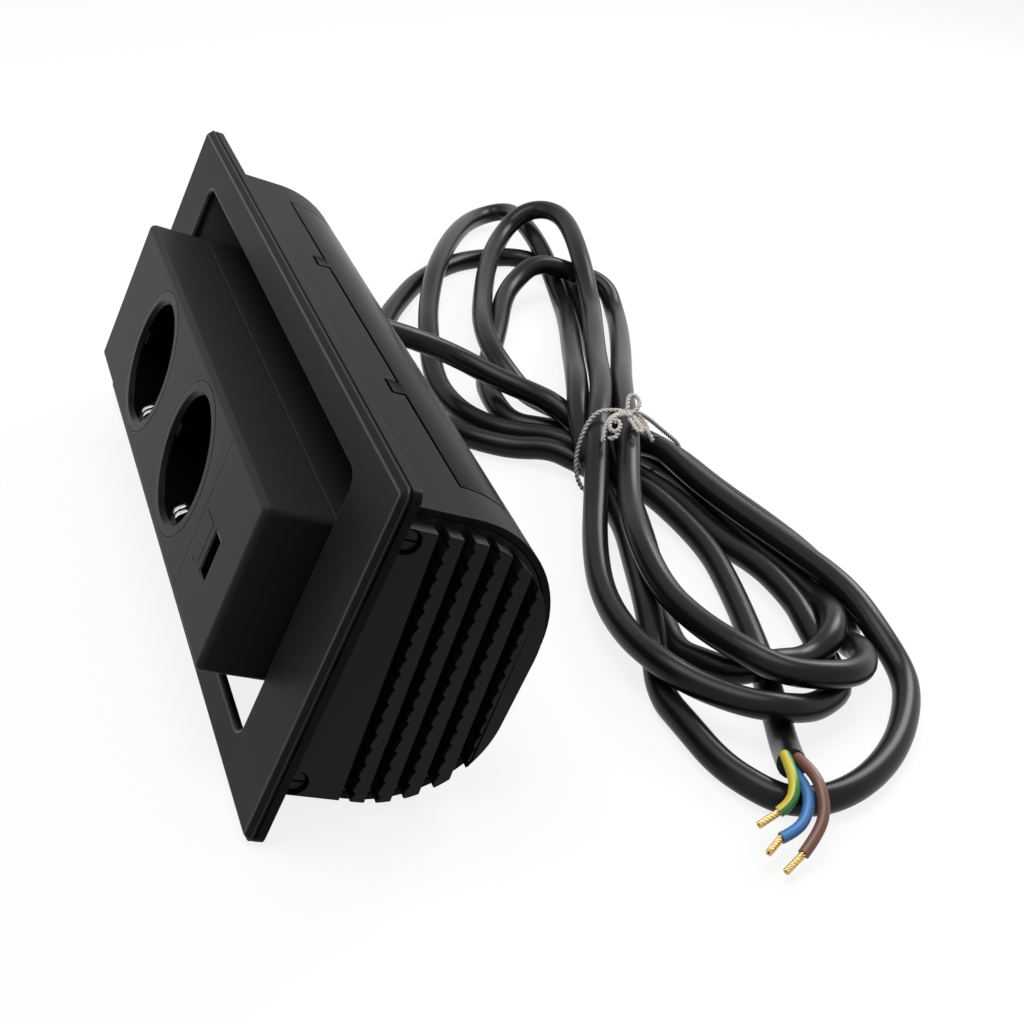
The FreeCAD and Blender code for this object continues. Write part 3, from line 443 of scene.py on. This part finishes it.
def on_flange_rim(point):
    """Whether a place is on the outer edge of the flange, seen from above."""
    x, y = abs(point.x) / MM, abs(point.y) / MM
    corner_x, corner_y = (half - FLANGE_CORNER_R for half in FLANGE_HALF)
    if x > corner_x and y > corner_y:
        return math.hypot(x - corner_x, y - corner_y) > FLANGE_CORNER_R - 0.1
    return x > FLANGE_HALF[0] - 0.05 or y > FLANGE_HALF[1] - 0.05


def upright_on_rim(face):
    return abs(face.normal.z) < 0.1 and all(on_flange_rim(v.co) for v in face.verts)


def cut_flange_gap(item):
    """Take the top of the flange's edge off, and draw it in again as a narrow gap."""
    edit_all(item)
    pick(item, "FACE", upright_on_rim)
    bpy.ops.mesh.bisect(plane_co=(0, 0, GAP_LOW * MM), plane_no=(0, 0, 1))
    pick(item, "FACE", lambda face: upright_on_rim(face)
         and face.calc_center_median().z > GAP_LOW * MM)
    bpy.ops.mesh.delete(type="ONLY_FACE")
    pick(item, "EDGE", lambda edge: edge.is_boundary
         and all(on_flange_rim(v.co) and v.co.z > (GAP_HIGH - 0.05) * MM for v in edge.verts))
    shrink_x, shrink_y = (1 - GAP_DEPTH / half for half in FLANGE_HALF)
    stretch(shrink_x, shrink_y)
    draw_out(0, 0, GAP_LOW - GAP_HIGH)
    draw_out(0, 0, 0)
    stretch(1 / shrink_x, 1 / shrink_y)
    merge_doubles()
    face_outwards()
    stop_edit()


# Moulded pieces, each with the radius of its edges and, on some, a lighter finish on the rounded
# edges that paints their highlight
MOULDED = {
    "front_frame": (0.4, painted_edge_highlight), "housing": (0.22, None), "bottom_cover": (0.25, None),
    "end_cap_near": (0.22, None), "end_cap_far": (0.22, None),
    "socket_panel": (0.22, painted_edge_highlight), "usb_panel": (0.22, painted_edge_highlight),
    "rotor_shell": (0.45, painted_edge_highlight), "rotor_lid": (0.3, None), "strain_relief": (0.2, None),
}
for name, (width, edge_highlight) in MOULDED.items():
    part = merged_copy(name)
    if name == "housing":
        cut_flange_gap(part)
        finish_faces(part, drum_inside, inside_drum)
    soften(part, width, edge_highlight=edge_highlight)
    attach(part, "rotor" if name in ROTOR_PIECES else "housing")
    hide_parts(name)

# Socket inserts, whose flat rims round the wells have the panel's finish
WELL_R = 19.8


def on_well_rim(face, well_x):
    """Whether a face lies flat at the height of the panel, outside the well."""
    x, y, z = face.calc_center_median() / MM
    from_middle = math.hypot(x - well_x, y - BLOCK_MID_Y)
    return face.normal.z > 0.95 and z > PANEL_TOP - 0.6 and from_middle > WELL_R


for number, x in enumerate(SOCKET_X, 1):
    name = "socket_insert_%d" % number
    insert = merged_copy(name)
    finish_faces(insert, panel_matt, lambda face: on_well_rim(face, x))
    soften(insert, 0.18, segments=3)
    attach(insert, "rotor")
    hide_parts(name)

# Earth clips: a spring strip in each well, from under the cup up both walls and over.
# Its path is read as distance from the well's middle and height, its slit starts at a height.
CLIP_WIDTH = 5.0
CLIP_SHEET = 0.7
SLIT_HALF = 0.45
SLIT_START = 11.2
clip_path = [(21.2, 1.9), (21.4, 2.2), (21.4, 10.9), (20.6, 11.6), (17.0, 14.6), (16.5, 15.4),
             (16.7, 16.3), (18.3, 18.1), (19.0, 18.6), (20.2, 18.95)]


def spring_strip():
    """One half is bent step by step from a flat blank, slit, and mirrored to the other wall."""
    strip = start_piece(bpy.ops.mesh.primitive_plane_add, size=1)
    reach, foot = clip_path[0]
    stretch(CLIP_WIDTH * MM, reach * MM)
    move(0, -reach / 2, foot)
    pick(strip, "EDGE", lambda edge: all(v.co.y < -(reach - 0.01) * MM for v in edge.verts))
    for before, after in zip(clip_path, clip_path[1:]):
        draw_out(0, before[0] - after[0], after[1] - before[1])
    for side in (-1, 1):
        bpy.ops.mesh.select_all(action="SELECT")
        bpy.ops.mesh.bisect(plane_co=(side * SLIT_HALF * MM, 0, 0), plane_no=(1, 0, 0))
    pick(strip, "FACE", lambda face: abs(face.calc_center_median().x) < SLIT_HALF * MM
         and face.calc_center_median().z > SLIT_START * MM)
    bpy.ops.mesh.delete(type="FACE")
    stop_edit()
    mirror = strip.modifiers.new("other_wall", "MIRROR")
    mirror.use_axis = (False, True, False)
    mirror.merge_threshold = 0.01 * MM
    apply_modifiers(strip)
    edit_all(strip)
    face_outwards()
    stop_edit()
    sheet = strip.modifiers.new("sheet", "SOLIDIFY")
    sheet.thickness = CLIP_SHEET * MM
    sheet.offset = 0
    round_edges(strip, 0.18, angle=50)
    apply_modifiers(strip)
    bpy.ops.object.shade_smooth_by_angle(angle=math.radians(48))
    strip.data.materials.append(bright_steel)
    return strip


first_strip = spring_strip()
for number, x in enumerate(SOCKET_X, 1):
    strip = new_item("earth_clip_%d" % number, first_strip.data.copy())
    strip.data.transform(Matrix.Translation(Vector((x, BLOCK_MID_Y, 0)) * MM))
    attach(strip, "rotor")
    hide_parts("earth_bracket_%d" % number)
bpy.data.objects.remove(first_strip)

# Snap tabs of the cover, in their windows in the drum's long sides
TAB_SIZE = (7.4, 2.0, 4.6)
TAB_PLACE = (46.5, 46.4, -22.9)
TAB_MARK_INSET = 0.9
TAB_MARK_DEPTH = 0.35


def snap_tab():
    """A block with rounded edges and a shallow thumb mark in its outer face."""
    tab = start_piece(bpy.ops.mesh.primitive_cube_add, size=1)
    stretch(*(length * MM for length in TAB_SIZE))
    move(*TAB_PLACE)
    pick(tab, "FACE", lambda face: face.normal.y > 0.9)
    bpy.ops.mesh.inset(thickness=TAB_MARK_INSET * MM)
    move(0, -TAB_MARK_DEPTH, 0)
    stop_edit()
    tab.data.materials.append(cover_gloss)
    soften(tab, 0.3)
    return tab


first_tab = snap_tab()
for number, (side_x, side_y) in enumerate(((1, 1), (-1, 1), (1, -1), (-1, -1)), 1):
    tab = new_item("cover_tab_%d" % number, first_tab.data.copy())
    edit_all(tab)
    stretch(side_x, side_y)
    face_outwards()
    stop_edit()
    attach(tab, "housing")
bpy.data.objects.remove(first_tab)

# A thin printed line with one corner, and a dot, beside the port
LINE_WIDTH = 0.7
LINE_START = (60.7, 2.2)
LINE_ACROSS = 7.6
LINE_DOWN = 13.8
DOT_R = 0.7
DOT_PLACE = (64.6, -12.4)
PRINT_RISE = 0.02


def printed_line():
    """Drawn out of a single flat blank, first along the block, then across it."""
    line = start_piece(bpy.ops.mesh.primitive_plane_add, size=LINE_WIDTH * MM)
    line.name = "panel_line"
    start_x, start_y = LINE_START
    corner_x = start_x + LINE_WIDTH / 2 + LINE_ACROSS
    move(start_x, start_y, PANEL_TOP + PRINT_RISE)
    pick(line, "EDGE", lambda edge: all(v.co.x > start_x * MM for v in edge.verts))
    draw_out(LINE_ACROSS, 0, 0)
    draw_out(LINE_WIDTH, 0, 0)
    pick(line, "EDGE", lambda edge: all(v.co.y < start_y * MM and v.co.x > (corner_x - 0.1) * MM
                                        for v in edge.verts))
    draw_out(0, -LINE_DOWN, 0)
    stop_edit()
    line.data.materials.append(mark_black)
    return line


def printed_dot():
    dot = start_piece(bpy.ops.mesh.primitive_circle_add, vertices=24, radius=DOT_R * MM,
                      fill_type="NGON")
    dot.name = "panel_dot"
    move(*DOT_PLACE, PANEL_TOP + PRINT_RISE)
    bpy.ops.mesh.inset(thickness=0.15 * MM)
    move(0, 0, PRINT_RISE)
    stop_edit()
    dot.data.materials.append(mark_black)
    return dot


for mark in (printed_line(), printed_dot()):
    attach(mark, "rotor")

# Lines. Their thickness, and the radius and pitch of what is twisted, are in millimetres.
PLACES_PER_TURN = 10


def round_line(name, thickness, resolution):
    """A curve without points yet, of round section and closed at its ends."""
    curve = bpy.data.curves.new(name, "CURVE")
    curve.dimensions = "3D"
    curve.bevel_depth = thickness / 2 * MM
    curve.bevel_resolution = resolution
    curve.use_fill_caps = True
    return curve


def smooth_line(name, places, thickness, closed=False):
    """A NURBS line of round section. Its control points are places in metres."""
    curve = round_line(name, thickness, 6)
    curve.use_fill_caps = not closed
    curve.resolution_u = 8
    spline = curve.splines.new("NURBS")
    spline.points.add(len(places) - 1)
    for point, place in zip(spline.points, places):
        point.co = (*place, 1)
    spline.order_u = 3
    spline.use_endpoint_u = not closed
    spline.use_cyclic_u = closed
    return new_item(name, curve)


def line_on_table(name, points, thickness, closed=False):
    return smooth_line(name, [on_table(*p) for p in points], thickness, closed)


def centre_line(item, spacing):
    """Places along a line's NURBS spline, about one spacing apart, in metres."""
    curve = item.data
    thickness = curve.bevel_depth
    curve.bevel_depth = 0
    bpy.context.view_layer.update()
    graph = bpy.context.evaluated_depsgraph_get()
    mesh = bpy.data.meshes.new_from_object(item.evaluated_get(graph))
    curve.bevel_depth = thickness
    places = [v.co.copy() for v in mesh.vertices]
    if curve.splines[0].use_cyclic_u:
        places.append(places[0])
    bpy.data.meshes.remove(mesh)
    reached = [0.0]
    for before, after in zip(places, places[1:]):
        reached.append(reached[-1] + (after - before).length)
    count = max(2, round(reached[-1] / spacing))
    found = []
    at = 0
    for step in range(count + 1):
        target = reached[-1] * step / count
        while at < len(places) - 2 and reached[at + 1] < target:
            at += 1
        share = (target - reached[at]) / max(reached[at + 1] - reached[at], 1e-9)
        found.append(places[at].lerp(places[at + 1], share))
    return found


def steady_frames(places, first_side):
    """Two directions square to the line at each place, carried along it without twist."""
    frames = []
    side = Vector(first_side)
    for number in range(len(places)):
        before = places[max(number - 1, 0)]
        after = places[min(number + 1, len(places) - 1)]
        way = (after - before).normalized()
        side = (side - way * side.dot(way)).normalized()
        frames.append((side.copy(), way.cross(side)))
    return frames


def add_strand(curve, places, frames, radius, start_turn):
    """One strand that winds round the places at a radius."""
    spline = curve.splines.new("POLY")
    spline.points.add(len(places) - 1)
    for number, (place, (side, up)) in enumerate(zip(places, frames)):
        angle = math.tau * (start_turn + number / PLACES_PER_TURN)
        spot = place + (side * math.cos(angle) + up * math.sin(angle)) * radius
        spline.points[number].co = (*spot, 1)


def twisted(name, lines, strands, thickness, radius, pitch, material):
    """Twisted strands along each line, as one piece. The plain lines are removed."""
    curve = round_line(name, thickness, 2)
    for line in lines:
        places = centre_line(line, pitch / PLACES_PER_TURN * MM)
        frames = steady_frames(places, (0.3, 0.5, 0.8))
        for strand in range(strands):
            add_strand(curve, places, frames, radius * MM, strand / strands)
        bpy.data.objects.remove(line)
    curve.materials.append(material)
    return new_item(name, curve)


def as_mesh(item):
    only(item)
    bpy.ops.object.convert(target="MESH")
    return bpy.context.object


# Mains lead: one smooth line from the strain relief, through the hank, to the cut end.
# The points of the hank are (u, v, h) on the table, in millimetres.
LEAD_THICKNESS = 9.2
exit_place = Vector((-112.3, 5.0, -82.0)) * MM
straight_out = exit_place + Vector((0, 0, -10.0)) * MM
from_relief = [(-113, 99, 27.1), (-109, 113, 22.1), (-98, 126, 17.8), (-87, 137, 16.3),
               (-74, 145, 16.7), (-57, 158, 6.6)]
near_turn_1 = [(-40, 174, 16.9), (-18, 180, 14.2), (10, 188, 13.6), (36, 195, 14.7),
               (64, 202, 15.2), (85, 203, 11.6), (101, 205, 5.6), (115, 198, 4.9), (133, 183, 4.7),
               (146, 165, 4.8), (152, 148, 5.1), (150, 136, 4.6), (144, 129, 4.9), (130, 122, 4.6),
               (112, 119, 5.7), (95, 118, 4.1), (75, 124, 8.3), (57, 129, 11.0), (34, 135, 10.5),
               (8, 141, 12.2), (-17, 142, 11.1), (-46, 144, 18.5)]
far_turn_1 = [(-77, 154, 24.7), (-117, 169, 16.1), (-163, 186, 8.7), (-197, 197, 2.7),
              (-233, 199, 14.4), (-271, 202, 14.7), (-299, 204, 10.1), (-300, 187, 5.7),
              (-266, 164, 11.6), (-216, 138, 15.8), (-184, 125, 11.5), (-155, 116, 11.0),
              (-121, 109, 4.7), (-94, 111, 4.7), (-78, 121, 4.8), (-70, 132, 6.1), (-63, 141, 8.4),
              (-46, 156, 7.1)]
near_turn_2_out = [(-19, 174, 5.5), (13, 179, 4.2), (36, 184, 7.9), (58, 186, 7.6), (71, 184, 7.2),
                   (88, 183, 4.2), (102, 179, 5.9)]
near_turn_2_back = [(110, 173, 8.8), (118, 160, 10.9), (121, 147, 15.1), (116, 136, 14.7),
                    (104, 125, 13.8), (92, 117, 14.7), (73, 114, 12.5), (48, 116, 10.9),
                    (23, 123, 13.0), (-2, 133, 16.4), (-36, 146, 27.7)]
far_turn_2 = [(-71, 162, 27.0), (-111, 177, 18.8), (-146, 190, 16.8), (-172, 200, 14.2),
              (-206, 206, 25.3), (-241, 212, 28.1), (-257, 208, 27.6), (-262, 197, 23.7),
              (-256, 185, 14.9), (-227, 168, 11.7), (-190, 153, 11.2), (-154, 140, 15.5),
              (-130, 136, 14.9), (-116, 138, 11.8), (-105, 143, 6.2), (-93, 153, 4.6),
              (-79, 164, 4.8), (-64, 178, 6.3)]
near_turn_3_out = [(-44, 187, 7.1), (-22, 194, 5.0), (2, 202, 4.7), (27, 208, 4.8), (52, 208, 5.1),
                   (72, 200, 4.5), (80, 195, 5.2), (85, 193, 7.4)]
near_turn_3_back = [(92, 192, 10.9), (101, 188, 12.8), (111, 178, 17.2), (114, 164, 20.1),
                    (110, 151, 20.3), (98, 142, 21.0), (79, 136, 18.7), (59, 132, 19.0),
                    (33, 134, 22.2), (6, 142, 20.5), (-34, 158, 26.2)]
far_turn_3 = [(-80, 175, 22.1), (-121, 194, 13.4), (-159, 210, 7.0), (-184, 219, 3.6),
              (-199, 219, 11.8), (-207, 206, 14.5), (-210, 186, 19.6), (-201, 172, 13.1),
              (-187, 162, 10.5), (-161, 151, 8.9), (-123, 132, 3.7), (-97, 127, 6.7),
              (-82, 130, 4.5), (-76, 141, 4.9), (-68, 164, 4.6)]
near_turn_4_out = [(-39, 180, 7.9), (-3, 188, 4.9), (25, 193, 4.6), (39, 196, 5.1), (57, 196, 6.2),
                   (75, 191, 13.4), (89, 182, 14.9), (95, 170, 11.0)]
near_turn_4_back = [(99, 154, 15.3), (96, 143, 10.1), (87, 137, 8.3), (76, 133, 4.9),
                    (65, 134, 4.7), (47, 138, 4.7), (24, 146, 4.7), (-6, 151, 9.3),
                    (-41, 152, 19.5)]
far_turn_4_out = [(-77, 167, 17.1), (-115, 182, 7.2), (-156, 195, 4.6), (-194, 206, 4.8),
                  (-227, 208, 4.8), (-242, 201, 4.7), (-249, 191, 4.7), (-249, 180, 4.8),
                  (-246, 164, 4.7), (-239, 151, 4.7), (-221, 131, 4.8), (-201, 117, 4.7),
                  (-185, 107, 5.0), (-164, 97, 4.7), (-137, 91, 4.7), (-104, 93, 4.8)]
far_turn_4_back = [(-78, 103, 4.6), (-67, 113, 5.5), (-61, 124, 5.2), (-54, 136, 8.5),
                   (-45, 144, 7.3), (-34, 153, 6.1)]
tail = [(-21, 162, 8.4), (-2, 168, 6.8), (22, 171, 5.8), (46, 168, 4.8), (70, 163, 4.7),
        (86, 159, 4.8), (112, 151, 4.6), (124, 147, 4.7), (134, 143, 7.3), (143, 138, 12.8)]
hank = (from_relief + near_turn_1 + far_turn_1 + near_turn_2_out + near_turn_2_back
        + far_turn_2 + near_turn_3_out + near_turn_3_back + far_turn_3
        + near_turn_4_out + near_turn_4_back + far_turn_4_out + far_turn_4_back + tail)
cord = smooth_line("mains_lead", [exit_place, straight_out] + [on_table(*p) for p in hank],
                   LEAD_THICKNESS)
cord.data.materials.append(sheath_rubber)

# The three cores and their bare ends
CORE_THICKNESS = 3.5
core_routes = {
    "brown": [(142.2, 139.8, 14.4), (149.6, 140.2, 15.8), (156.7, 140.0, 15.0),
              (163.6, 138.2, 11.5), (168.2, 133.6, 8.0), (171.5, 128.2, 5.5)],
    "blue": [(142.1, 137.9, 11.4), (150.0, 137.9, 12.4), (157.5, 136.4, 12.0), (162.8, 132.6, 9.4),
             (164.6, 128.4, 7.4), (165.2, 124.2, 6.5)],
    "green_yellow": [(140.5, 136.6, 14.4), (147.4, 134.9, 15.2), (154.4, 132.6, 14.6),
                     (158.2, 129.6, 12.0), (158.6, 126.1, 10.0)],
}
core_ends = {
    "brown": (174.8, 121.4, 3.2), "blue": (169.7, 117.9, 6.2), "green_yellow": (161.0, 118.7, 8.5),
}
tip_lines = []
for name, points in core_routes.items():
    core = as_mesh(line_on_table("insulation_" + name, points, CORE_THICKNESS))
    core.data.materials.clear()
    core.data.materials.append(CORE_FINISH[name])
    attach(core, "housing")
    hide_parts("core_" + name)
    tip_lines.append(line_on_table("tip_" + name, [points[-1], core_ends[name]], 2.0))
tips = twisted("core_strands", tip_lines, strands=6, thickness=0.85, radius=0.72, pitch=7.0,
               material=bright_brass)
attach(tips, "housing")
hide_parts("core_tips")

# The string round the waist of the hank: one turn, a knot, a loop, a curl and its ends
STRING_THICKNESS = 1.9
turn = [(-28, 141.5, 3), (-30, 138.0, 8), (-32, 137.0, 15), (-33.5, 137.8, 20),
        (-34.2, 138.9, 24.5), (-36, 141.4, 29.6), (-36.8, 145, 33.4), (-36.5, 149, 34),
        (-36.2, 152.8, 34), (-35.5, 157, 33.6), (-38, 163, 31.6), (-41, 170, 26.6),
        (-43.5, 176, 21.4), (-46, 183, 15.6), (-48, 189, 10.6), (-48.5, 191, 5), (-47, 187, 1.2),
        (-43, 178, 1.0), (-38, 164, 1.0), (-32, 150, 1.0)]
knot = [(-34.4, 153.4, 34.2), (-32.2, 152.2, 35.4), (-30.2, 153.4, 35.2), (-30.4, 156, 34.4),
        (-33, 157, 34.2)]
string_ends = [
    [(-33.2, 155.4, 34.2), (-34.6, 156.2, 35.8), (-37.4, 157.2, 37.2), (-39.6, 158.6, 38),
     (-40.4, 160.6, 38.2), (-39.4, 162.4, 37.4), (-37, 162.4, 36.2), (-35, 160.8, 35),
     (-33.4, 158, 34)],
    [(-33, 153.2, 34.2), (-31.2, 149.6, 35), (-28.3, 146, 34.6), (-24.6, 143.2, 33.4),
     (-22, 141.8, 32), (-19.8, 140.8, 30.5)],
    [(-31, 152.2, 34.4), (-28.6, 149.6, 36.2), (-26.2, 146, 36), (-23.4, 144, 34.8),
     (-21.5, 144.2, 33.8), (-20.4, 145.8, 33.8), (-22, 148, 34.2), (-24.8, 149.2, 35),
     (-26.4, 148, 35.6), (-25.2, 146.8, 35.4)],
    [(-22.6, 148, 33.4), (-20.2, 146.6, 32.6), (-18.8, 144.6, 31.8), (-20.4, 143.2, 31.2)],
    [(-34, 155.5, 33.8), (-35, 159, 33.4), (-34.6, 162.5, 31.4), (-33.4, 165.2, 28),
     (-32.2, 165.6, 26), (-31.6, 163.6, 28.6), (-31, 160, 32.4), (-31.4, 157.4, 33.6)],
    [(-31.8, 154.8, 33.8), (-28, 155.6, 33.6), (-24, 155.4, 33), (-21.8, 156.2, 32.2),
     (-23, 158.5, 31.6), (-26.5, 158.4, 32.6), (-30, 157, 33.8)],
    [(-31.4, 157.2, 33.2), (-28.5, 160.5, 31), (-26, 162.8, 29), (-24, 163.8, 26.8)],
]
tie_lines = [line_on_table("turn", turn, STRING_THICKNESS, closed=True),
             line_on_table("knot", knot, STRING_THICKNESS, closed=True)]
for number, points in enumerate(string_ends):
    tie_lines.append(line_on_table("string_end_%d" % number, points, STRING_THICKNESS))
string = twisted("string_tie", tie_lines, strands=2, thickness=1.0, radius=0.44, pitch=3.6,
                 material=string_grey)
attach(string, "housing")
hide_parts("cord_tie")

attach(cord, "housing")
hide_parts("cord_lead", "cord_hank", "cord_tail")
